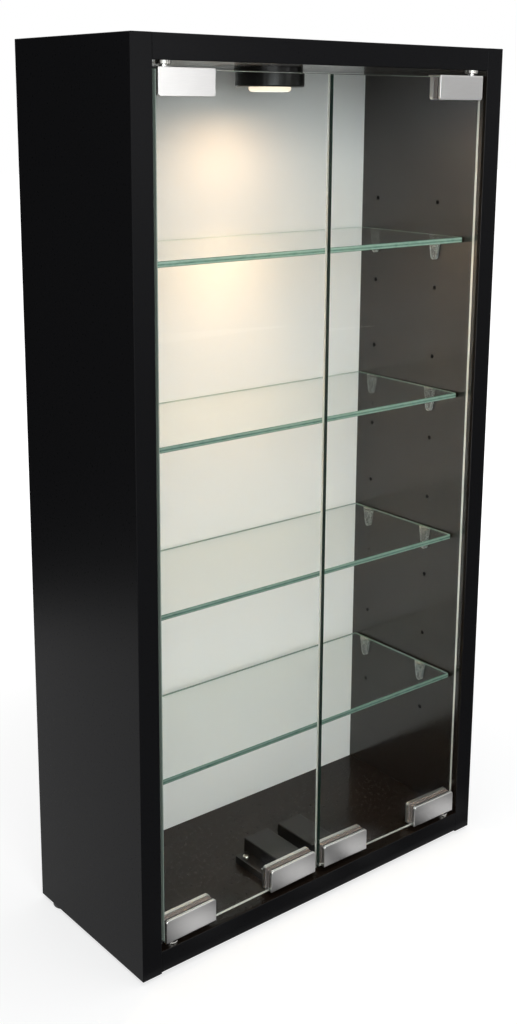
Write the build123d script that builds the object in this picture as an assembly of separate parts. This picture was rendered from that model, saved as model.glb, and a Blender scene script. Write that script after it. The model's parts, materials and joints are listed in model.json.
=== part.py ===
from build123d import *
import math
import os

# Display cabinet with two inset glass doors on pivot clips, four glass shelves,
# a double touch latch and a round lamp. Millimetres. The origin is on the ground,
# under the middle of the cabinet; +Z is up and the doors face -Y.

# Carcass
width = 496.0
depth = 205.0
side_height = 950.0
board = 24.0
bottom_lift = 1.3
arris = 0.8
rebate_lap = 8.0
rebate_depth = 8.0
back_board = 6.0
back_gap = 0.5

# Dowels in the four corner joints
dowel_radius = 4.0
dowel_in_side = 12.0
dowel_in_end = 22.0
dowel_clearance = 0.05
dowel_end_gap = 0.6
dowel_places = (40.0, 100.0, 160.0)

# Screws that hold the back board
back_screw_radius = 1.5
back_screw_head_radius = 3.2
back_screw_length = 22.0
back_screws_up = 5
back_screws_across = 3
screw_clearance = 0.1
screw_cross_width = 0.9
screw_cross_depth = 1.2

# Glides under the carcass
glide_height = 4.5
glide_radius = 12.0
glide_nail_radius = 1.2
glide_nail_length = 14.0
rear_glide_from_back = 27.0
front_glide_from_front = 28.0
front_glide_from_side = 22.0

# Glass shelves and the holes for their supports
shelf_thickness = 6.0
shelf_set_back = 28.5
shelf_back_gap = 2.5
shelf_end_gap = 2.0
shelf_arris = 0.5
shelf_tops = (741.6, 559.2, 384.9, 207.2)
shelf_pulls = (0.0, 0.0, 0.0, 5.5)
pin_radius = 2.4
pin_clearance = 0.1
pin_length = 9.0
pin_hole_depth = 11.0
pin_drop = 7.0
front_pin_from_front = 71.0
rear_pin_from_back = 35.0
spare_hole_pitch = 50.0

# Clear plastic shelf supports
support_pad_radius = 8.0
support_pad_thickness = 2.4
support_wall = 2.2
support_top_width = 15.0
support_tail_radius = 4.4
support_tail_drop = 19.0
support_rim = 1.2
support_rim_reach = 4.0
support_rib = 1.8
support_rib_reach = 6.4
support_boss_radius = 4.4
support_boss_height = 2.0

# Doors
door_glass = 6.0
door_glass_arris = 0.5
middle_gap = 3.6
hinge_overhang = 12.0
pivot_from_side = 17.5
pivot_from_front = 8.3
door_rest_angle = 1.1
hinge_gap = 5.5

# Clips on the doors: two pivot clips and one strike clip for each door
clip_length = 66.0
clip_height = 26.4
clip_face_to_pivot = 7.7
clip_front_plate = 3.0
clip_front_pad = 0.5
clip_back_pad = 5.2
clip_back_wall = 4.2
clip_web = 2.0
clip_web_round = 1.6
clip_free_corner = 3.2
clip_edge_corner = 1.2
clip_arris = 0.4
pad_margin = 1.5
strike_from_free_edge = 5.0
hinge_clip_inset = 0.8
clip_screw_radius = 2.5
clip_screw_from_end = 17.0
clip_screw_socket = 1.4
clip_screw_socket_depth = 2.0
clip_screw_sunk = 0.3
thread_clearance = 0.05

# Pivot pins and the bushes they turn in
pivot_radius = 2.5
pivot_clearance = 0.05
pivot_collar_radius = 3.5
pivot_in_bush = 7.0
bush_radius = 4.5
bush_length = 9.0
bush_end_wall = 0.8
bush_flange_radius = 7.2
bush_flange = 3.4
bush_flange_corner = 0.5
bush_clearance = 0.05
seat_gap = 0.3

# Double touch latch on the cabinet floor
latch_back_from_front = 92.0
latch_front_from_front = 30.0
latch_half_width = 60.0
latch_ear_height = 8.5
latch_ear_back_gap = 4.0
latch_tunnel_width = 35.5
latch_tunnel_height = 23.4
latch_bridge_width = 16.0
latch_corner = 1.5
plunger_radius = 7.0
plunger_clearance = 0.1
plunger_length = 44.0
plunger_bore_spare = 3.0
magnet_radius = 5.0
magnet_thickness = 4.0
latch_screw_radius = 2.0
latch_screw_head_radius = 4.0
latch_screw_head_height = 2.0
latch_screw_length = 14.0
latch_screw_from_back = 10.0
latch_screw_from_front = 14.0

# Round lamp under the top panel
lamp_from_front = 108.5
lamp_radius = 36.7
lamp_height = 19.8
lamp_wall = 2.0
lamp_corner = 2.0
lens_radius = 22.5
lens_bulge = 5.0
lens_edge_round = 3.8
lens_wall = 1.8
lens_lip = 2.0
lens_clearance = 0.1
lamp_plate = 2.0
lamp_plate_gap = 0.3
led_board_thickness = 1.6
lamp_screw_radius = 1.75
lamp_screw_head_radius = 3.4
lamp_screw_head_height = 2.0
lamp_screw_length = 12.0
lamp_screw_spread = 40.0

# Levels and faces that several pieces share
inner_x = width / 2 - board
front_y = -depth / 2
back_y = depth / 2
back_face_y = back_y - rebate_depth
side_foot = glide_height
floor_z = side_foot + bottom_lift + board
top_z = side_foot + side_height
ceiling_z = top_z - board
clip_bottom_z = floor_z + hinge_gap
clip_top_z = ceiling_z - hinge_gap
pivot_x = -inner_x + pivot_from_side
pivot_y = front_y + pivot_from_front
lamp_y = front_y + lamp_from_front
pin_rows = (front_y + front_pin_from_front, back_y - rear_pin_from_back)
shelf_depth = depth - rebate_depth - shelf_back_gap - shelf_set_back

# Layers through a door clip, measured from the pivot axis and positive inwards
plate_front_v = -clip_face_to_pivot
plate_back_v = plate_front_v + clip_front_plate
glass_front_v = plate_back_v + clip_front_pad
glass_back_v = glass_front_v + door_glass
wall_front_v = glass_back_v + clip_back_pad
wall_back_v = wall_front_v + clip_back_wall
door_free_u = -middle_gap / 2 - pivot_x


def block(x0, x1, y0, y1, z0, z1):
    """A box between two opposite corners."""
    middle = Pos((x0 + x1) / 2, (y0 + y1) / 2, (z0 + z1) / 2)
    return middle * Box(x1 - x0, y1 - y0, z1 - z0)


def rod_x(x0, x1, y, z, radius):
    """A cylinder along X from x0 to x1."""
    return Pos((x0 + x1) / 2, y, z) * Rot(0, 90, 0) * Cylinder(radius, abs(x1 - x0))


def rod_y(x, y0, y1, z, radius):
    """A cylinder along Y from y0 to y1."""
    return Pos(x, (y0 + y1) / 2, z) * Rot(90, 0, 0) * Cylinder(radius, abs(y1 - y0))


def rod_z(x, y, z0, z1, radius):
    """A cylinder along Z from z0 to z1."""
    return Pos(x, y, (z0 + z1) / 2) * Cylinder(radius, abs(z1 - z0))


def mirrored(shape):
    """The same piece on the other side of the cabinet."""
    return mirror(shape, about=Plane.YZ)


def screw_cross(head_radius):
    """The cross recess of a screw, cut into a head whose face is at z = 0, facing +Z."""
    arm = Box(screw_cross_width, 1.2 * head_radius, 2 * screw_cross_depth)
    return arm + Rot(0, 0, 90) * arm


def group(pieces):
    """Separate solids kept together in one node."""
    return Compound(children=[solid for piece in pieces for solid in piece.solids()])


# Carcass boards

def dowel_levels():
    """Heights of the dowels: the middle of the bottom and the top board."""
    return (floor_z - board / 2, ceiling_z + board / 2)


def back_screw_points():
    """Where the screws go through the back board into the rebates."""
    side_x = inner_x + rebate_lap / 2
    low_z = floor_z - rebate_lap / 2
    high_z = ceiling_z + rebate_lap / 2
    points = []
    for i in range(back_screws_up):
        z = low_z + (high_z - low_z) * (i + 0.5) / back_screws_up
        points += [(-side_x, z), (side_x, z)]
    for i in range(back_screws_across):
        x = -inner_x + 2 * inner_x * (i + 0.5) / back_screws_across
        points += [(x, low_z), (x, high_z)]
    return points


def back_screw_pilots():
    deep_y = back_face_y + back_board - back_screw_length - screw_clearance
    radius = back_screw_radius + screw_clearance
    return [rod_y(x, deep_y, back_face_y, z, radius) for x, z in back_screw_points()]


def pin_points():
    """Every support hole in a side panel, as its y and z."""
    points = []
    for top in shelf_tops:
        pin_z = side_foot + top - shelf_thickness - pin_drop
        for row in pin_rows:
            for step in (-spare_hole_pitch, 0.0, spare_hole_pitch):
                points.append((row, pin_z + step))
    return points


def rebate_cut():
    """The step round the back opening that the back board lies in."""
    return block(-inner_x - rebate_lap, inner_x + rebate_lap, back_face_y, back_y,
                 floor_z - rebate_lap, ceiling_z + rebate_lap)


def left_side_panel():
    panel = block(-width / 2, -inner_x, front_y, back_y, side_foot, top_z)
    edges = panel.edges().filter_by(Axis.Z).group_by(Axis.Y)[0]
    edges += panel.edges().filter_by(Axis.Y).group_by(Axis.Z)[-1].group_by(Axis.X)[0]
    panel = fillet(edges, arris)
    cuts = [rebate_cut()]
    dowel_end = -inner_x - dowel_in_side - dowel_end_gap
    for z in dowel_levels():
        for place in dowel_places:
            cuts.append(rod_x(dowel_end, -inner_x, front_y + place, z, dowel_radius + dowel_clearance))
    for y, z in pin_points():
        cuts.append(rod_x(-inner_x - pin_hole_depth, -inner_x, y, z, pin_radius + pin_clearance))
    glide_y = back_y - rear_glide_from_back
    cuts.append(rod_z(-width / 2 + board / 2, glide_y, side_foot, side_foot + glide_nail_length,
                      glide_nail_radius + screw_clearance))
    cuts += [pilot for pilot in back_screw_pilots() if pilot.center().X < -inner_x]
    return panel - cuts


def cross_panel(z0, z1, rebate_at_top):
    """The top or the bottom board, between the sides."""
    panel = block(-inner_x, inner_x, front_y, back_y, z0, z1)
    panel = fillet(panel.edges().filter_by(Axis.X).group_by(Axis.Y)[0], arris)
    cuts = [rebate_cut()]
    middle = (z0 + z1) / 2
    reach = dowel_in_end + dowel_end_gap
    for place in dowel_places:
        for side in (-1, 1):
            cuts.append(rod_x(side * (inner_x - reach), side * inner_x, front_y + place, middle,
                              dowel_radius + dowel_clearance))
    mouth = z1 if rebate_at_top else z0
    inward = -1 if rebate_at_top else 1
    for side in (-1, 1):
        cuts.append(rod_z(side * pivot_x, pivot_y, mouth, mouth + inward * (bush_length + seat_gap),
                          bush_radius + bush_clearance))
    cuts += [pilot for pilot in back_screw_pilots() if z0 < pilot.center().Z < z1 and
             abs(pilot.center().X) < inner_x]
    return panel, cuts


def bottom_panel():
    panel, cuts = cross_panel(side_foot + bottom_lift, floor_z, True)
    for x, y in latch_screw_points():
        cuts.append(rod_z(x, y, floor_z - latch_screw_length + latch_ear_height - screw_clearance, floor_z,
                          latch_screw_radius + screw_clearance))
    for x, y in front_glide_points():
        cuts.append(rod_z(x, y, side_foot + bottom_lift, side_foot + bottom_lift + glide_nail_length,
                          glide_nail_radius + screw_clearance))
    return panel - cuts


def top_panel():
    panel, cuts = cross_panel(ceiling_z, top_z, False)
    for x in lamp_screw_places():
        cuts.append(rod_z(x, lamp_y, ceiling_z, ceiling_z + lamp_screw_length - lamp_plate + screw_clearance,
                          lamp_screw_radius + screw_clearance))
    return panel - cuts


def back_panel():
    reach = rebate_lap - back_gap
    panel = block(-inner_x - reach, inner_x + reach, back_face_y, back_face_y + back_board,
                  floor_z - reach, ceiling_z + reach)
    cuts = []
    sink = back_screw_head_radius - back_screw_radius
    for x, z in back_screw_points():
        cuts.append(rod_y(x, back_face_y, back_face_y + back_board, z, back_screw_radius + screw_clearance))
        cone = Cone(back_screw_radius + screw_clearance, back_screw_head_radius + screw_clearance, sink)
        cuts.append(Pos(x, back_face_y + back_board - sink / 2, z) * Rot(-90, 0, 0) * cone)
    return panel - cuts


def back_panel_screws():
    """Countersunk screws, heads flush with the back board."""
    head_y = back_face_y + back_board
    sink = back_screw_head_radius - back_screw_radius
    screws = []
    for x, z in back_screw_points():
        shank = rod_y(x, head_y - back_screw_length, head_y - sink, z, back_screw_radius)
        cone = Pos(0, 0, -sink / 2) * Cone(back_screw_radius, back_screw_head_radius, sink)
        in_board = Pos(x, head_y, z) * Rot(-90, 0, 0)
        screws.append(shank + in_board * cone - in_board * screw_cross(back_screw_head_radius))
    return group(screws)


def carcass_dowels():
    """Three dowels in each corner joint."""
    dowels = []
    for side in (-1, 1):
        for z in dowel_levels():
            for place in dowel_places:
                dowels.append(rod_x(side * (inner_x - dowel_in_end), side * (inner_x + dowel_in_side),
                                    front_y + place, z, dowel_radius))
    return group(dowels)


# Glides

def front_glide_points():
    x = inner_x - front_glide_from_side
    return [(-x, front_y + front_glide_from_front), (x, front_y + front_glide_from_front)]


def glide(x, y, seat_z):
    """A nail-on glide: a round foot with a domed edge, and the nail that holds it."""
    foot = rod_z(x, y, 0, seat_z, glide_radius)
    foot = fillet(foot.edges().group_by(Axis.Z)[0], glide_height * 0.4)
    return foot + rod_z(x, y, seat_z, seat_z + glide_nail_length - screw_clearance, glide_nail_radius)


def rear_glides():
    x = width / 2 - board / 2
    y = back_y - rear_glide_from_back
    return group([glide(-x, y, side_foot), glide(x, y, side_foot)])


def front_glides():
    return group([glide(x, y, side_foot + bottom_lift) for x, y in front_glide_points()])


# Shelves

def shelf(number):
    top = side_foot + shelf_tops[number]
    front = front_y + shelf_set_back - shelf_pulls[number]
    plate = block(-inner_x + shelf_end_gap, inner_x - shelf_end_gap, front, front + shelf_depth,
                  top - shelf_thickness, top)
    return chamfer(plate.edges(), shelf_arris)


def support(y, pin_z):
    """A clear support on the left side panel: the pad below the glass, a plate with a raised rim
    against the wall, a rib, a boss and the pin."""
    wall_x = -inner_x
    pad_top = pin_z + pin_drop
    pad_low = pad_top - support_pad_thickness
    pad = rod_z(wall_x, y, pad_low, pad_top, support_pad_radius)
    pad -= block(wall_x - support_pad_radius, wall_x, y - support_pad_radius, y + support_pad_radius,
                 pad_low, pad_top)
    tail_z = pad_top - support_tail_drop
    half = support_top_width / 2
    outline = make_hull([
        Edge.make_line((y - half, pad_top), (y + half, pad_top)),
        Edge.make_circle(support_tail_radius, Plane((y, tail_z, 0))),
    ])
    front_view = make_face(outline)
    plate = extrude(Plane.YZ.offset(wall_x) * front_view, support_rim_reach)
    plate -= extrude(Plane.YZ.offset(wall_x + support_wall) * offset(front_view, -support_rim),
                     support_rim_reach - support_wall)
    rib_edges = Polyline((wall_x, pad_low), (wall_x + support_rib_reach, pad_low), (wall_x, tail_z),
                         close=True)
    rib = extrude(Plane.XZ.offset(-y) * make_face(rib_edges), support_rib / 2, both=True)
    boss = rod_x(wall_x, wall_x + support_wall + support_boss_height, y, pin_z, support_boss_radius)
    boss = fillet(boss.edges().group_by(Axis.X)[-1], support_boss_height / 2)
    pin = rod_x(wall_x - pin_length, wall_x, y, pin_z, pin_radius)
    return pad + plate + rib + boss + pin


def shelf_supports(number):
    pin_z = side_foot + shelf_tops[number] - shelf_thickness - pin_drop
    left = [support(row, pin_z) for row in pin_rows]
    return group(left + [mirrored(piece) for piece in left])


# Doors. A door is drawn along u from its pivot axis to its free edge, with v inwards,
# and then turned to its rest angle about the pivot.

def hang(shape):
    """Put a piece of the left door, drawn from the pivot, in its place."""
    return Pos(pivot_x, pivot_y, 0) * Rot(0, 0, door_rest_angle) * shape


def glass_pane():
    pane = block(-hinge_overhang, door_free_u, glass_front_v, glass_back_v,
                 clip_bottom_z + clip_web, clip_top_z - clip_web)
    return chamfer(pane.edges(), door_glass_arris)


def hinge_clip_start():
    return -hinge_overhang + hinge_clip_inset


def strike_clip_start():
    return door_free_u - strike_from_free_edge - clip_length


def clip_channel(u0, at_bottom):
    """A channel over the edge of the glass: front plate, web and back plate.

    The channel's section runs along u, and its front view rounds the four corners."""
    u1 = u0 + clip_length
    edge_z = clip_bottom_z if at_bottom else clip_top_z
    up = 1 if at_bottom else -1
    free_z = edge_z + up * clip_height
    slot_z = edge_z + up * clip_web
    channel = block(u0, u1, plate_front_v, wall_back_v, min(edge_z, free_z), max(edge_z, free_z))
    channel -= block(u0, u1, plate_back_v, wall_front_v, min(slot_z, free_z), max(slot_z, free_z))
    shoulder = channel.edges().filter_by(Axis.X).group_by(Axis.Y)[0].sort_by(Axis.Z)[0 if at_bottom else -1]
    channel = fillet(shoulder, clip_web_round)
    front_view = block(u0, u1, plate_front_v, wall_back_v, min(edge_z, free_z), max(edge_z, free_z))
    corners = front_view.edges().filter_by(Axis.Y)
    front_view = fillet(corners.group_by(Axis.Z)[-1 if at_bottom else 0], clip_free_corner)
    corners = front_view.edges().filter_by(Axis.Y)
    front_view = fillet(corners.group_by(Axis.Z)[0 if at_bottom else -1], clip_edge_corner)
    free_edge = chamfer(front_view.faces().sort_by(Axis.Y)[0].edges(), clip_arris)
    return channel & free_edge


def clip_screw_spots(u0):
    """The two clamp screws of a clip, along it."""
    return (u0 + clip_screw_from_end, u0 + clip_length - clip_screw_from_end)


def clip_middle_z(at_bottom):
    """Height of the middle of the clamped glass."""
    half = (clip_height + clip_web) / 2
    return clip_bottom_z + half if at_bottom else clip_top_z - half


def clip(u0, at_bottom, with_pivot):
    body = clip_channel(u0, at_bottom)
    z = clip_middle_z(at_bottom)
    cuts = [rod_y(u, wall_front_v, wall_back_v, z, clip_screw_radius + thread_clearance)
            for u in clip_screw_spots(u0)]
    if with_pivot:
        edge_z = clip_bottom_z if at_bottom else clip_top_z
        web_z = edge_z + clip_web if at_bottom else edge_z - clip_web
        cuts.append(rod_z(0, 0, edge_z, web_z, pivot_radius + thread_clearance))
    return hang(body - cuts)


def clip_pads(u0, at_bottom):
    """The soft pad behind the front plate and the pressure pad that the screws push."""
    low = clip_bottom_z + clip_web if at_bottom else clip_top_z - clip_height + pad_margin
    high = clip_bottom_z + clip_height - pad_margin if at_bottom else clip_top_z - clip_web
    u_low, u_high = u0 + pad_margin, u0 + clip_length - pad_margin
    return [hang(block(u_low, u_high, plate_back_v, glass_front_v, low, high)),
            hang(block(u_low, u_high, glass_back_v, wall_front_v, low, high))]


def clip_screws(u0, at_bottom):
    """Socket grub screws in the back wall."""
    screws = []
    z = clip_middle_z(at_bottom)
    end_v = wall_back_v - clip_screw_sunk
    for u in clip_screw_spots(u0):
        socket = extrude(Plane((u, end_v, z), x_dir=(1, 0, 0), z_dir=(0, -1, 0)) *
                         RegularPolygon(clip_screw_socket, 6), clip_screw_socket_depth)
        screws.append(hang(rod_y(u, wall_front_v, end_v, z, clip_screw_radius) - socket))
    return screws


def pivot_pin(at_bottom):
    """A pin through the clip's web, with a collar outside it and an end that turns in the bush."""
    away = -1 if at_bottom else 1
    edge_z = clip_bottom_z if at_bottom else clip_top_z
    collar_end = edge_z + away * (hinge_gap - bush_flange - seat_gap)
    collar = rod_z(0, 0, edge_z, collar_end, pivot_collar_radius)
    pin_end = edge_z + away * (hinge_gap + pivot_in_bush)
    pin = rod_z(0, 0, edge_z - away * clip_web, pin_end, pivot_radius)
    return hang(collar + pin)


def pivot_bush(at_bottom):
    """A bush in the bottom or the top board, with a round head that stands proud of it."""
    mouth = floor_z if at_bottom else ceiling_z
    inward = -1 if at_bottom else 1
    head_face = mouth - inward * bush_flange
    head = rod_z(pivot_x, pivot_y, mouth, head_face, bush_flange_radius)
    head = chamfer(head.edges().group_by(Axis.Z)[-1 if at_bottom else 0], bush_flange_corner)
    bush = head + rod_z(pivot_x, pivot_y, mouth, mouth + inward * bush_length, bush_radius)
    bore_end = mouth + inward * (bush_length - bush_end_wall)
    return bush - rod_z(pivot_x, pivot_y, head_face, bore_end, pivot_radius + pivot_clearance)


def pivot_bushes(at_bottom):
    bush = pivot_bush(at_bottom)
    return group([bush, mirrored(bush)])


def door_pieces():
    """Every piece of the left door by its name without the side."""
    hinge_u, strike_u = hinge_clip_start(), strike_clip_start()
    places = ((hinge_u, True), (hinge_u, False), (strike_u, True))
    return {
        "door_glass": [hang(glass_pane())],
        "door_bottom_hinge_clip": [clip(hinge_u, True, True)],
        "door_top_hinge_clip": [clip(hinge_u, False, True)],
        "door_strike_clip": [clip(strike_u, True, False)],
        "door_clip_pads": [pad for u, low in places for pad in clip_pads(u, low)],
        "door_clip_screws": [screw for u, low in places for screw in clip_screws(u, low)],
        "door_pivot_pins": [pivot_pin(True), pivot_pin(False)],
    }


# Touch latch

def latch_tunnel_x():
    """Middle of a tunnel, from the middle of the latch."""
    return (latch_bridge_width + latch_tunnel_width) / 2


def latch_tunnel_z():
    return floor_z + latch_tunnel_height / 2


def latch_screw_points():
    outer = latch_bridge_width / 2 + latch_tunnel_width
    x = (outer + latch_half_width) / 2
    rear = front_y + latch_back_from_front - latch_ear_back_gap - latch_screw_from_back
    front = front_y + latch_front_from_front + latch_screw_from_front
    return [(side * x, y) for side in (-1, 1) for y in (front, rear)]


def magnet_face_y():
    """Front of a plunger's magnet when its door is shut: just behind the tilted strike clip."""
    tilt = math.radians(door_rest_angle)
    reach = -latch_tunnel_x() + magnet_radius - pivot_x
    return pivot_y + reach * math.tan(tilt) + wall_back_v / math.cos(tilt) + seat_gap


def latch_housing():
    """Two closed tunnels on a low base with an ear at each end."""
    front = front_y + latch_front_from_front
    back = front_y + latch_back_from_front
    half = latch_bridge_width / 2
    base = block(-half, half, front, back, floor_z, floor_z + latch_ear_height)
    for side in (-1, 1):
        inner, outer = side * half, side * (half + latch_tunnel_width)
        tunnel = block(min(inner, outer), max(inner, outer), front, back, floor_z,
                       floor_z + latch_tunnel_height)
        base += fillet(tunnel.edges().filter_by(Axis.Y).group_by(Axis.Z)[-1], latch_corner)
        edge = side * latch_half_width
        ear = block(min(outer, edge), max(outer, edge), front, back - latch_ear_back_gap, floor_z,
                    floor_z + latch_ear_height)
        corner = ear.edges().filter_by(Axis.Z).group_by(Axis.X)[0 if side < 0 else -1]
        base += fillet(corner, latch_corner)
    cuts = []
    bore_end = magnet_face_y() + plunger_length + plunger_bore_spare
    for side in (-1, 1):
        cuts.append(rod_y(side * latch_tunnel_x(), front, bore_end, latch_tunnel_z(),
                          plunger_radius + plunger_clearance))
    for x, y in latch_screw_points():
        cuts.append(rod_z(x, y, floor_z, floor_z + latch_ear_height, latch_screw_radius + screw_clearance))
    return base - cuts


def latch_screws():
    """Round-headed screws through the ears into the cabinet floor."""
    screws = []
    seat = floor_z + latch_ear_height
    for x, y in latch_screw_points():
        head = rod_z(x, y, seat, seat + latch_screw_head_height, latch_screw_head_radius)
        head = fillet(head.edges().group_by(Axis.Z)[-1], latch_screw_head_height * 0.7)
        screw = head + rod_z(x, y, seat - latch_screw_length, seat, latch_screw_radius)
        top = Pos(x, y, seat + latch_screw_head_height)
        screws.append(screw - top * screw_cross(latch_screw_head_radius))
    return group(screws)


def latch_plunger():
    """The left door's plunger: a round slide with a pocket for the magnet in its front."""
    face = magnet_face_y()
    x, z = -latch_tunnel_x(), latch_tunnel_z()
    slide = rod_y(x, face + seat_gap, face + plunger_length, z, plunger_radius)
    pocket = rod_y(x, face + seat_gap, face + magnet_thickness, z, magnet_radius + thread_clearance)
    return slide - pocket


def latch_magnet():
    face = magnet_face_y()
    return rod_y(-latch_tunnel_x(), face, face + magnet_thickness, latch_tunnel_z(), magnet_radius)


# Lamp

def lamp_screw_places():
    return (-lamp_screw_spread / 2, lamp_screw_spread / 2)


def lamp_mounting_plate():
    """A steel disc that is screwed under the top board; the housing clips over it."""
    radius = lamp_radius - lamp_wall - lamp_plate_gap
    plate = rod_z(0, lamp_y, ceiling_z - lamp_plate, ceiling_z, radius)
    holes = [rod_z(x, lamp_y, ceiling_z - lamp_plate, ceiling_z, lamp_screw_radius + screw_clearance)
             for x in lamp_screw_places()]
    return plate - holes


def lamp_screws():
    seat = ceiling_z - lamp_plate
    screws = []
    for x in lamp_screw_places():
        head = rod_z(x, lamp_y, seat - lamp_screw_head_height, seat, lamp_screw_head_radius)
        head = fillet(head.edges().group_by(Axis.Z)[0], lamp_screw_head_height * 0.6)
        screws.append(head + rod_z(x, lamp_y, seat, seat + lamp_screw_length, lamp_screw_radius))
    return group(screws)


def lamp_housing():
    """A round cup, open upwards, with the lens opening in its face."""
    low = ceiling_z - lamp_height
    cup = rod_z(0, lamp_y, low, ceiling_z, lamp_radius)
    cup = fillet(cup.edges().group_by(Axis.Z)[0], lamp_corner)
    cup -= rod_z(0, lamp_y, low + lamp_wall, ceiling_z, lamp_radius - lamp_wall)
    cup -= rod_z(0, lamp_y, low, low + lamp_wall, lens_radius + lens_clearance)
    return cup


def lamp_lens():
    """A shallow cup with a rounded rim that stands below the housing, held by its lip inside."""
    low = ceiling_z - lamp_height
    seat = low + lamp_wall
    cup = rod_z(0, lamp_y, low - lens_bulge, seat, lens_radius)
    cup = fillet(cup.edges().group_by(Axis.Z)[0], lens_edge_round)
    cup += rod_z(0, lamp_y, seat, seat + lens_wall, lens_radius + lens_lip)
    hollow = rod_z(0, lamp_y, low - lens_bulge + lens_wall, seat + lens_wall, lens_radius - lens_wall)
    return cup - fillet(hollow.edges().group_by(Axis.Z)[0], lens_edge_round - lens_wall)


def lamp_light_board():
    """The round board with its light source, resting on the lens ring."""
    low = ceiling_z - lamp_height + lamp_wall + lens_wall
    board_disc = rod_z(0, lamp_y, low, low + led_board_thickness, lens_radius + lens_lip)
    source = rod_z(0, lamp_y, low - led_board_thickness, low, lens_radius / 2)
    return board_disc + source


def nodes():
    """Every node of the cabinet by name."""
    result = {
        "left_side_panel": left_side_panel(),
        "bottom_panel": bottom_panel(),
        "top_panel": top_panel(),
        "back_panel": back_panel(),
        "back_panel_screws": back_panel_screws(),
        "carcass_dowels": carcass_dowels(),
        "rear_glides": rear_glides(),
        "front_glides": front_glides(),
        "bottom_pivot_bushes": pivot_bushes(True),
        "top_pivot_bushes": pivot_bushes(False),
        "latch_housing": latch_housing(),
        "latch_screws": latch_screws(),
        "lamp_mounting_plate": lamp_mounting_plate(),
        "lamp_screws": lamp_screws(),
        "lamp_housing": lamp_housing(),
        "lamp_lens": lamp_lens(),
        "lamp_light_board": lamp_light_board(),
    }
    result["right_side_panel"] = mirrored(result["left_side_panel"])
    for number in range(len(shelf_tops)):
        result[f"shelf_{number + 1}"] = shelf(number)
        result[f"shelf_{number + 1}_supports"] = shelf_supports(number)
    for name, pieces in door_pieces().items():
        result["left_" + name] = group(pieces)
        result["right_" + name] = group([mirrored(piece) for piece in pieces])
    for name, piece in (("latch_plunger", latch_plunger()), ("latch_magnet", latch_magnet())):
        result["left_" + name] = piece
        result["right_" + name] = mirrored(piece)
    return result


os.makedirs("parts", exist_ok=True)
for node, shape in nodes().items():
    export_step(shape, f"parts/{node}.step")
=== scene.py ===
import json

import bpy
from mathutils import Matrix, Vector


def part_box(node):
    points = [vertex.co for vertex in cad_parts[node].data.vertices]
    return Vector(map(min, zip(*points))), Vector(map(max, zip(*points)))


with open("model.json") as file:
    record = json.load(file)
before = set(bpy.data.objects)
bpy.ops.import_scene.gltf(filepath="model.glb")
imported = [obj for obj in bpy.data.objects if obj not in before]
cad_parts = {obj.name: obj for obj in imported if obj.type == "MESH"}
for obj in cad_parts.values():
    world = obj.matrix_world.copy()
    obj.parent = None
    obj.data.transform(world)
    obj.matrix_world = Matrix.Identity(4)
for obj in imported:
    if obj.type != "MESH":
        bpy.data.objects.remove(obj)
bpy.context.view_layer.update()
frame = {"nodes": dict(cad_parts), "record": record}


class Field:
    """A number that changes over a surface. Arithmetic on fields adds Math nodes."""

    def __init__(self, finish, socket):
        self.finish, self.socket = finish, socket

    def _math(self, operation, *values):
        node = self.finish.node("Math", {"operation": operation})
        for socket, value in zip(node.inputs, values):
            self.finish.feed(socket, value)
        return Field(self.finish, node.outputs[0])

    def __add__(self, other):
        return self._math("ADD", self, other)

    def __sub__(self, other):
        return self._math("SUBTRACT", self, other)

    def __mul__(self, other):
        return self._math("MULTIPLY", self, other)

    def __truediv__(self, other):
        return self._math("DIVIDE", self, other)

    def __rsub__(self, other):
        return self._math("SUBTRACT", other, self)

    def __abs__(self):
        return self._math("ABSOLUTE", self)

    __radd__ = __add__
    __rmul__ = __mul__

    def root(self):
        """The square root."""
        return self._math("SQRT", self)

    def held(self):
        """The same number, held between 0 and 1."""
        same = self._math("ADD", self, 0.0)
        same.socket.node.use_clamp = True
        return same

    def band(self, low, high):
        """0 below low, 1 above high and smooth between them."""
        node = self.finish.node("MapRange", {"interpolation_type": "SMOOTHSTEP"},
                                {"Value": self, "From Min": low, "From Max": high})
        return Field(self.finish, node.outputs["Result"])


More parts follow.
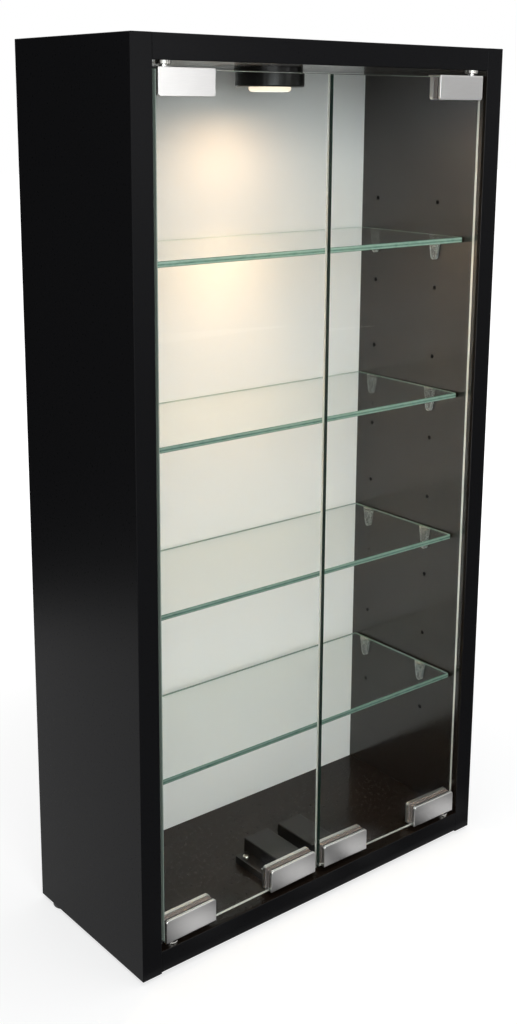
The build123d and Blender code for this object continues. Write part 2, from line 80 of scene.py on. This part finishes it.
class Finish:
    """The nodes of a material, or of the world, under construction."""

    def __init__(self, owner, output="OutputMaterial"):
        self.owner = owner
        owner.use_nodes = True
        self.tree = owner.node_tree
        self.tree.nodes.clear()
        self.output = self.node(output)

    def feed(self, socket, value):
        """Links a field or a socket to an input, or sets a constant on it."""
        if isinstance(value, Field):
            value = value.socket
        if isinstance(value, bpy.types.NodeSocket):
            self.tree.links.new(value, socket)
        else:
            socket.default_value = value

    def node(self, kind, settings=None, values=None):
        """Any node: its settings first, then the values or links of its sockets."""
        node = self.tree.nodes.new("ShaderNode" + kind)
        for name, setting in (settings or {}).items():
            setattr(node, name, setting)
        for name, value in (values or {}).items():
            self.feed(node.inputs[name], value)
        return node

    def component(self, vector, axis):
        """One component of a vector."""
        parts = self.node("SeparateXYZ", None, {"Vector": vector})
        return Field(self, parts.outputs[axis])

    def along(self, axis):
        """The object coordinate on one axis, in metres."""
        return self.component(self.node("TexCoord").outputs["Object"], axis)

    def squareness(self, axis):
        """1 where a face looks along the axis, 0 where it lies along it."""
        return abs(self.component(self.node("TexCoord").outputs["Normal"], axis))

    def radius(self, middle_x=0.0, middle_y=0.0):
        """The distance from a line along Z, in object coordinates."""
        x, y = self.along("X") - middle_x, self.along("Y") - middle_y
        return (x * x + y * y).root()

    def light_path(self, name):
        """What Light Path says of the ray that arrives."""
        return Field(self, self.node("LightPath").outputs[name])

    def noise(self, scale, detail=2.0, roughness=0.5, stretch=(1, 1, 1)):
        """Noise on object coordinates, with about scale grains to a metre."""
        where = self.node("Mapping", None, {"Vector": self.node("TexCoord").outputs["Object"],
                                            "Scale": stretch})
        node = self.node("TexNoise", None, {"Vector": where.outputs["Vector"], "Scale": scale,
                                            "Detail": detail, "Roughness": roughness})
        return Field(self, node.outputs["Fac"])

    def blend(self, share, first, second):
        """A colour that goes from first to second as share goes from 0 to 1."""
        node = self.node("Mix", {"data_type": "RGBA"}, {"Factor": share})
        first_colour, second_colour, blended_colour = node.inputs[6], node.inputs[7], node.outputs[2]
        self.feed(first_colour, first)
        self.feed(second_colour, second)
        return blended_colour

    def bump(self, height, depth, strength=1.0):
        """A normal from a height field; depth is in metres."""
        node = self.node("Bump", None, {"Height": height, "Distance": depth, "Strength": strength})
        return node.outputs["Normal"]

    def mixed(self, share, first, second):
        """A shader that goes from first to second as share goes from 0 to 1."""
        node = self.node("MixShader", None, {"Fac": share})
        self.feed(node.inputs[1], first)
        self.feed(node.inputs[2], second)
        return node.outputs["Shader"]

    def surface(self, **values):
        """The Principled shader, with its sockets named with underscores."""
        named = {name.replace("_", " "): value for name, value in values.items()}
        return self.node("BsdfPrincipled", None, named).outputs["BSDF"]

    def see_through(self, colour):
        """A shader that lets rays straight through and colours them."""
        return self.node("BsdfTransparent", None, {"Color": colour}).outputs["BSDF"]

    def glow(self, strength):
        """A shader that gives off white light."""
        node = self.node("Emission", None, {"Color": rgb(1, 1, 1), "Strength": strength})
        return node.outputs["Emission"]

    def done(self, shader):
        """Feeds the output and gives back the material or the world."""
        self.feed(self.output.inputs["Surface"], shader)
        return self.owner


def new_finish(name):
    return Finish(bpy.data.materials.new(name))


def rgb(red, green, blue):
    return (red, green, blue, 1.0)


def middle_of(node):
    """The middle of a CAD node, seen from above."""
    low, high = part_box(node)
    return (low.x + high.x) / 2, (low.y + high.y) / 2


# Finishes

def inner_faces(f):
    """1 on the faces inside the cabinet, 0 on its outer faces and front edges."""
    inner_x = -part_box("left_side_panel")[1].x
    front_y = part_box("left_side_panel")[0].y
    floor_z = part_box("bottom_panel")[1].z
    ceiling_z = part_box("top_panel")[0].z
    near, far = 0.0002, 0.0006
    between_sides = 1 - abs(f.along("X")).band(inner_x + near, inner_x + far)
    behind_front = f.along("Y").band(front_y + near, front_y + far)
    over_floor = f.along("Z").band(floor_z - far, floor_z - near)
    under_ceiling = 1 - f.along("Z").band(ceiling_z + near, ceiling_z + far)
    return between_sides * behind_front * over_floor * under_ceiling


def dark_laminate():
    """Near-black melamine with a fine pebbled press pattern. Inside the cabinet it is silkier, though less
    silky on the cabinet floor, and its colour is browner there: painted warm light of the lamp."""
    f = new_finish("dark_laminate")
    inside = inner_faces(f)
    cloud = f.noise(3.0, detail=3.0)
    fleck = f.noise(420.0)
    pebble = f.noise(1500.0, roughness=0.6)
    tone = cloud * 0.6 + fleck * 0.4
    floor_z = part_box("bottom_panel")[1].z
    off_the_floor = f.along("Z").band(floor_z + 0.0005, floor_z + 0.002)
    outer = f.blend(tone, rgb(0.0080, 0.0080, 0.0090), rgb(0.0110, 0.0108, 0.0118))
    # painted light: this browner copy of the colour, on the faces inside, stands in for the lamp's warm
    # light
    painted_warm_inner = f.blend(tone, rgb(0.0100, 0.0062, 0.0044), rgb(0.0130, 0.0086, 0.0062))
    silk = inside * (off_the_floor * 0.7 + 0.3)
    return f.done(f.surface(Base_Color=f.blend(inside, outer, painted_warm_inner), Roughness=0.24 + 0.10 * fleck,
                            Specular_IOR_Level=0.05, Coat_Weight=silk, Coat_Roughness=0.16,
                            Coat_IOR=1.65, Normal=f.bump(pebble, depth=0.00002, strength=0.12)))


def white_laminate():
    """The pale back: off-white, faintly clouded, with a fine grain."""
    f = new_finish("white_laminate")
    cloud = f.noise(4.0, detail=3.0)
    grain = f.noise(900.0)
    colour = f.blend(cloud, rgb(0.80, 0.80, 0.79), rgb(0.85, 0.85, 0.84))
    return f.done(f.surface(Base_Color=colour, Roughness=0.42 + 0.1 * grain, Specular_IOR_Level=0.3,
                            Normal=f.bump(grain, depth=0.00002, strength=0.3)))


def metal(name, colour, roughness, streaks=(1, 1, 1), fineness=600.0):
    """Metal whose streaks run along the axis with the smallest stretch."""
    f = new_finish(name)
    fine = f.noise(fineness, detail=3.0, roughness=0.7, stretch=streaks)
    cloud = f.noise(40.0)
    darker = tuple(part * 0.82 for part in colour)
    tone = f.blend(fine * 0.7 + cloud * 0.3, rgb(*darker), rgb(*colour))
    return f.done(f.surface(Base_Color=tone, Metallic=1.0, Roughness=roughness + 0.12 * fine,
                            Normal=f.bump(fine, depth=0.00001, strength=0.4)))


def float_glass(f, mirror):
    """The clear body of a sheet: faintly smeared faces and a green tint inside.

    mirror is how much its faces reflect where one looks straight at them; 1 is real glass."""
    smear = f.noise(9.0, detail=3.0)
    tint = f.node("VolumeAbsorption", None, {"Color": rgb(0.45, 0.86, 0.68), "Density": 3.0})
    f.feed(f.output.inputs["Volume"], tint.outputs["Volume"])
    return f.surface(Base_Color=rgb(0.993, 1.0, 0.997), Roughness=0.004 + 0.01 * smear.band(0.55, 0.8),
                     IOR=1.5, Transmission_Weight=1.0, Specular_Tint=rgb(mirror, mirror, mirror))


def letting_light_in(f, shader):
    """The same shader, with shadows that let the light through."""
    return f.mixed(f.light_path("Is Shadow Ray"), shader, f.see_through(rgb(0.95, 0.96, 0.955)))


def shelf_glass(node):
    """Clear float glass with mint-green edges. Their brightness is painted lamp light, stronger the nearer
    the shelf is to the lamp, with painted shade in a darker streak along the middle, and a darker green
    along each arris."""
    f = new_finish(node + "_glass")
    low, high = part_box(node)
    # painted lamp light: the edge colours are brighter the higher the shelf stands, nearer the lamp
    glow = 0.45 + 0.75 * low.z
    level = (f.along("Z") - low.z) / (high.z - low.z)
    lying = f.squareness("Z")
    depths = f.noise(110.0, detail=4.0, roughness=0.7, stretch=(1, 1, 3))
    # painted shade: a darker band along the middle of each edge
    streak = (1 - abs(level - 0.45).band(0.05, 0.22)) * 0.7
    painted_shade_and_depths = (streak + depths.band(0.45, 0.75) * 0.4).held()
    lamp_lit_pale_mint = rgb(0.36 * glow, 0.50 * glow, 0.42 * glow)
    lamp_lit_deep_mint = rgb(0.07 * glow, 0.18 * glow, 0.14 * glow)
    arris_green = rgb(0.09, 0.20, 0.15)
    edge_colour = f.blend(lying.band(0.3, 0.6), f.blend(painted_shade_and_depths, lamp_lit_pale_mint, lamp_lit_deep_mint), arris_green)
    polished = f.surface(Base_Color=edge_colour, Roughness=0.15)
    edge = 1 - lying.band(0.75, 0.95)
    return f.done(letting_light_in(f, f.mixed(edge * 0.85, float_glass(f, mirror=0.8), polished)))


def door_glass():
    """Clear toughened glass. Its edges are deep green seen from outside, paler by the hinges with painted
    light, and a painted light reflection where one sees them from within the sheet."""
    f = new_finish("door_glass")
    edge = 1 - f.squareness("Y").band(0.75, 0.95)
    within = Field(f, f.node("NewGeometry").outputs["Backfacing"])
    painted_light_by_the_hinges = abs(f.along("X")).band(0.02, 0.2)
    # painted light: a paler edge colour by the hinges
    outside_colour = f.blend(painted_light_by_the_hinges, rgb(0.015, 0.045, 0.032), rgb(0.44, 0.54, 0.47))
    # painted reflection: a cream colour where the edges are seen from within the sheet
    edge_colour = f.blend(within, outside_colour, rgb(0.90, 0.88, 0.80))
    polished = f.surface(Base_Color=edge_colour, Roughness=0.2)
    share = edge * (0.75 - within * 0.2)
    return f.done(letting_light_in(f, f.mixed(share, float_glass(f, mirror=0.04), polished)))


def clear_plastic():
    """Moulded clear plastic that whitens in spots, with a painted white highlight where one looks along
    its walls.
    """
    f = new_finish("clear_plastic")
    flow = f.noise(260.0)
    body = f.surface(Base_Color=rgb(0.97, 0.98, 0.98), Roughness=0.05 + 0.10 * flow, IOR=1.49,
                     Transmission_Weight=1.0, Normal=f.bump(flow, depth=0.0002, strength=0.4))
    # painted highlight: a whitish matt surface that takes over where one looks along the walls
    painted_highlight_white = f.surface(Base_Color=rgb(0.82, 0.88, 0.87), Roughness=0.2)
    rim = Field(f, f.node("LayerWeight", None, {"Blend": 0.3}).outputs["Facing"])
    spots = f.noise(420.0).band(0.56, 0.7)
    painted_highlight_and_spots = (rim * 0.9 + spots * 0.4).held()
    return f.done(letting_light_in(f, f.mixed(painted_highlight_and_spots, body, painted_highlight_white)))


def moulding(name, dark, light, roughness, gloss=0.5, coat=0.0):
    """Moulded plastic, rubber or painted metal with a spark-eroded or powdery skin.

    gloss is how strongly the skin reflects, and coat is a smooth film over it."""
    f = new_finish(name)
    skin = f.noise(1400.0, roughness=0.6)
    cloud = f.noise(30.0)
    colour = f.blend(cloud, rgb(*dark), rgb(*light))
    return f.done(f.surface(Base_Color=colour, Roughness=roughness + 0.15 * skin, Specular_IOR_Level=gloss,
                            Coat_Weight=coat, Coat_Roughness=0.12,
                            Normal=f.bump(skin, depth=0.00003, strength=0.5)))


def beech():
    """Dowel wood, with its grain along X as the dowels lie."""
    f = new_finish("beech")
    grain = f.noise(90.0, detail=4.0, roughness=0.6, stretch=(0.08, 1, 1))
    colour = f.blend(grain, rgb(0.50, 0.33, 0.18), rgb(0.72, 0.53, 0.33))
    return f.done(f.surface(Base_Color=colour, Roughness=0.5 + 0.2 * grain,
                            Normal=f.bump(grain, depth=0.0001, strength=0.5)))


def lit_lens():
    """Frosted lens of the lamp, warm and brightest in the middle."""
    f = new_finish("lit_lens")
    rim = f.radius(*middle_of("lamp_lens")).band(0.016, 0.0225)
    frost = f.noise(700.0)
    colour = f.blend(rim, rgb(0.5, 0.49, 0.46), rgb(0.45, 0.42, 0.38))
    light = f.blend(rim, rgb(1.0, 0.97, 0.92), rgb(1.0, 0.84, 0.64))
    return f.done(f.surface(Base_Color=colour, Roughness=0.35 + 0.15 * frost,
                            Emission_Color=light, Emission_Strength=1.0))


finishes = {
    "carcass_board": dark_laminate(),
    "back_board": white_laminate(),
    "zinc_screw": metal("zinc_plate", (0.62, 0.61, 0.58), roughness=0.3),
    "dowel_wood": beech(),
    "glide_plastic": moulding("glide_plastic", (0.02, 0.02, 0.02), (0.035, 0.034, 0.033), roughness=0.45),
    "bush_nickel": metal("bush_nickel", (0.52, 0.51, 0.48), roughness=0.2),
    # painted reflection: the latch's faint brown tint stands in for the warm light that the cabinet floor
    # around it reflects
    "latch_plastic": moulding("latch_plastic", (0.0065, 0.0052, 0.0045), (0.0090, 0.0074, 0.0064),
                              roughness=0.3, gloss=0.1, coat=0.6),
    "nickel_screw": metal("nickel_plate", (0.80, 0.78, 0.74), roughness=0.15),
    "lamp_plate_steel": metal("plain_steel", (0.6, 0.6, 0.6), roughness=0.35),
    "lamp_black": moulding("lamp_black", (0.008, 0.008, 0.007), (0.012, 0.0115, 0.011),
                           roughness=0.25, gloss=0.3),
    "lamp_lens": lit_lens(),
    "light_board": moulding("light_board", (0.75, 0.74, 0.7), (0.85, 0.84, 0.8), roughness=0.4),
    "door_glass": door_glass(),
    "clear_plastic": clear_plastic(),
    "clip_steel": metal("brushed_steel", (0.85, 0.84, 0.83), roughness=0.26, streaks=(0.02, 1, 1),
                        fineness=2400.0),
    "pad_rubber": moulding("pad_rubber", (0.14, 0.115, 0.11), (0.20, 0.165, 0.155), roughness=0.5),
    "clip_screw_steel": metal("screw_steel", (0.55, 0.55, 0.55), roughness=0.25),
    "pin_steel": metal("turned_steel", (0.82, 0.81, 0.80), roughness=0.18, streaks=(1, 1, 8)),
    "plunger_plastic": moulding("plunger_plastic", (0.02, 0.02, 0.02), (0.03, 0.03, 0.03), roughness=0.35),
    "magnet_nickel": metal("magnet_nickel", (0.70, 0.69, 0.67), roughness=0.2),
}
slots = {part["node"]: part["material_slot"] for part in frame["record"]["subparts"]}
for name, node in frame["nodes"].items():
    node.data.materials.clear()
    if slots[name] == "shelf_glass":
        node.data.materials.append(shelf_glass(name))
    else:
        node.data.materials.append(finishes[slots[name]])


# Camera at the photograph's viewing angle

camera_data = bpy.data.cameras.new("camera")
camera_data.lens = 46.394
camera_data.shift_x = 0.0014
camera_data.shift_y = -0.1038
camera_data.clip_end = 60.0
camera = bpy.data.objects.new("camera", camera_data)
camera.location = (-0.91902, -1.10563, 0.88845)
camera.rotation_euler = (1.349239, -0.006238, -0.682741)
bpy.context.scene.collection.objects.link(camera)
bpy.context.scene.camera = camera


# Floor and world

def seen_as_background(f):
    """1 for the rays that see the background: from the camera, a gloss or through glass.

    Light that a surface scatters out through the door glass isn't one of them."""
    seen = (f.light_path("Is Camera Ray") + f.light_path("Is Glossy Ray")
            + f.light_path("Is Transmission Ray"))
    unscattered = 1 - f.light_path("Diffuse Depth")
    return seen.held() * unscattered.held()


def pale_floor():
    """White where it is seen; a soft shadow stays close round the object."""
    f = new_finish("pale_floor")
    grain = f.noise(2.0)
    colour = f.blend(grain, rgb(0.45, 0.45, 0.45), rgb(0.47, 0.47, 0.47))
    matt = f.node("BsdfDiffuse", None, {"Color": colour})
    glow_by_the_object, more_glow_far_off = 0.68, 0.36
    far = f.radius().band(0.4, 1.4)
    glow = f.glow(seen_as_background(f) * (far * more_glow_far_off + glow_by_the_object))
    both = f.node("AddShader")
    f.feed(both.inputs[0], matt.outputs["BSDF"])
    f.feed(both.inputs[1], glow)
    return f.done(both.outputs["Shader"])


bpy.ops.mesh.primitive_plane_add(size=30.0, location=(0, 0, 0))
floor = bpy.context.object
floor.name = "floor"
floor.data.materials.append(pale_floor())

world = bpy.data.worlds.new("studio")
bpy.context.scene.world = world
sky = Finish(world, "OutputWorld")
soft_light = 0.35
sky_strength = seen_as_background(sky) * (1 - soft_light) + soft_light
backdrop = sky.node("Background", None, {"Color": rgb(1, 1, 1), "Strength": sky_strength})
sky.done(backdrop.outputs["Background"])


# Lamps

def put_lamp(lamp, place, aim):
    """Hangs a lamp in its place and turns it to its aim."""
    lamp_object = bpy.data.objects.new(lamp.name, lamp)
    lamp_object.location = place
    direction = Vector(aim) - Vector(place)
    lamp_object.rotation_euler = direction.to_track_quat("-Z", "Y").to_euler()
    bpy.context.scene.collection.objects.link(lamp_object)


def softbox(name, place, aim, size, power, colour=(1, 1, 1)):
    """A flat studio light."""
    lamp = bpy.data.lights.new(name, "AREA")
    lamp.shape = "RECTANGLE"
    lamp.size, lamp.size_y = size
    lamp.energy = power
    lamp.color = colour
    put_lamp(lamp, place, aim)


def cabinet_beam(name, power, opening):
    """A warm cone of the round lamp, from just below its lens."""
    middle_x, middle_y = middle_of("lamp_lens")
    gap_below_lens = 0.003
    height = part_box("lamp_lens")[0].z - gap_below_lens
    lamp = bpy.data.lights.new(name, "SPOT")
    lamp.energy = power
    lamp.color = (1.0, 0.64, 0.35)
    lamp.spot_size = opening
    lamp.spot_blend = 1.0
    lamp.shadow_soft_size = 0.012
    put_lamp(lamp, (middle_x, middle_y, height), (middle_x, middle_y, 0.0))


softbox("front", place=(-1.3, -2.8, 1.4), aim=(0, 0, 0.5), size=(1.7, 1.7), power=40.0,
        colour=(0.94, 0.99, 1.0))
softbox("top", place=(0.3, -0.2, 2.9), aim=(0, 0, 0.3), size=(2.4, 2.4), power=30.0)
cabinet_beam("lamp_beam", power=4.0, opening=1.19)
cabinet_beam("lamp_spill", power=1.05, opening=3.1)


# Cards for the mirror views

LYING = (0, 0, 0)


def upright(turn):
    """The rotation of a card that stands, turned about the vertical."""
    quarter_turn = 1.5708
    return (quarter_turn, 0, turn)


def mirrored_card(name, place, rotation, size, brightness, faded):
    """A card that only mirrored rays see, even all over or faded towards its edges."""
    bpy.ops.mesh.primitive_plane_add(size=1.0, location=place, rotation=rotation)
    card = bpy.context.object
    card.name = name
    card.scale = (size[0], size[1], 1.0)
    card.visible_camera = False
    card.visible_diffuse = False
    card.visible_shadow = False
    f = new_finish(name)
    share = f.light_path("Glossy Depth").held()
    if faded:
        half_a_card = 0.5
        share = share * (1 - f.radius().band(0.0, half_a_card))
    material = f.done(f.mixed(share, f.see_through(rgb(1, 1, 1)), f.glow(brightness)))
    material.cycles.emission_sampling = "NONE"
    card.data.materials.append(material)


def dark_card(name, place, rotation, size):
    """Keeps the white room out of a mirror view."""
    mirrored_card(name, place, rotation, size, brightness=0.01, faded=False)


def bright_card(name, place, rotation, size, brightness):
    """Shines on the metal and on the front edges."""
    mirrored_card(name, place, rotation, size, brightness, faded=True)


dark_card("left_card", (-0.745, 0.81, 0.8), upright(0.60), (1.2, 1.6))
dark_card("front_card", (2.6, -3.2, 1.0), upright(0.3), (3.4, 2.0))
dark_card("floor_card", (1.6, -1.61, 0.004), LYING, (4.4, 3.0))

# A ray from the camera that a lower clip mirrors goes on sideways by this share of its way
# until it comes down on the clip's card
onward_share = 0.06
for clip in ("left_door_bottom_hinge_clip", "left_door_strike_clip",
             "right_door_strike_clip", "right_door_bottom_hinge_clip"):
    middle, _ = middle_of(clip)
    before_it = middle + onward_share * (middle - camera.location.x)
    bright_card(clip + "_glow", (before_it, -0.15, 0.006), LYING, (0.13, 0.09), brightness=0.85)
bright_card("stile_glow", (1.03, -2.12, 1.0), upright(0.4), (0.5, 1.8), brightness=7.0)
bright_card("left_clip_glow", (1.25, -2.1, 0.95), upright(0.4), (0.8, 1.4), brightness=0.6)
bright_card("right_clip_glow", (2.42, -2.1, 0.98), upright(0.6), (0.9, 0.8), brightness=1.25)

bpy.context.scene.view_settings.view_transform = "Standard"
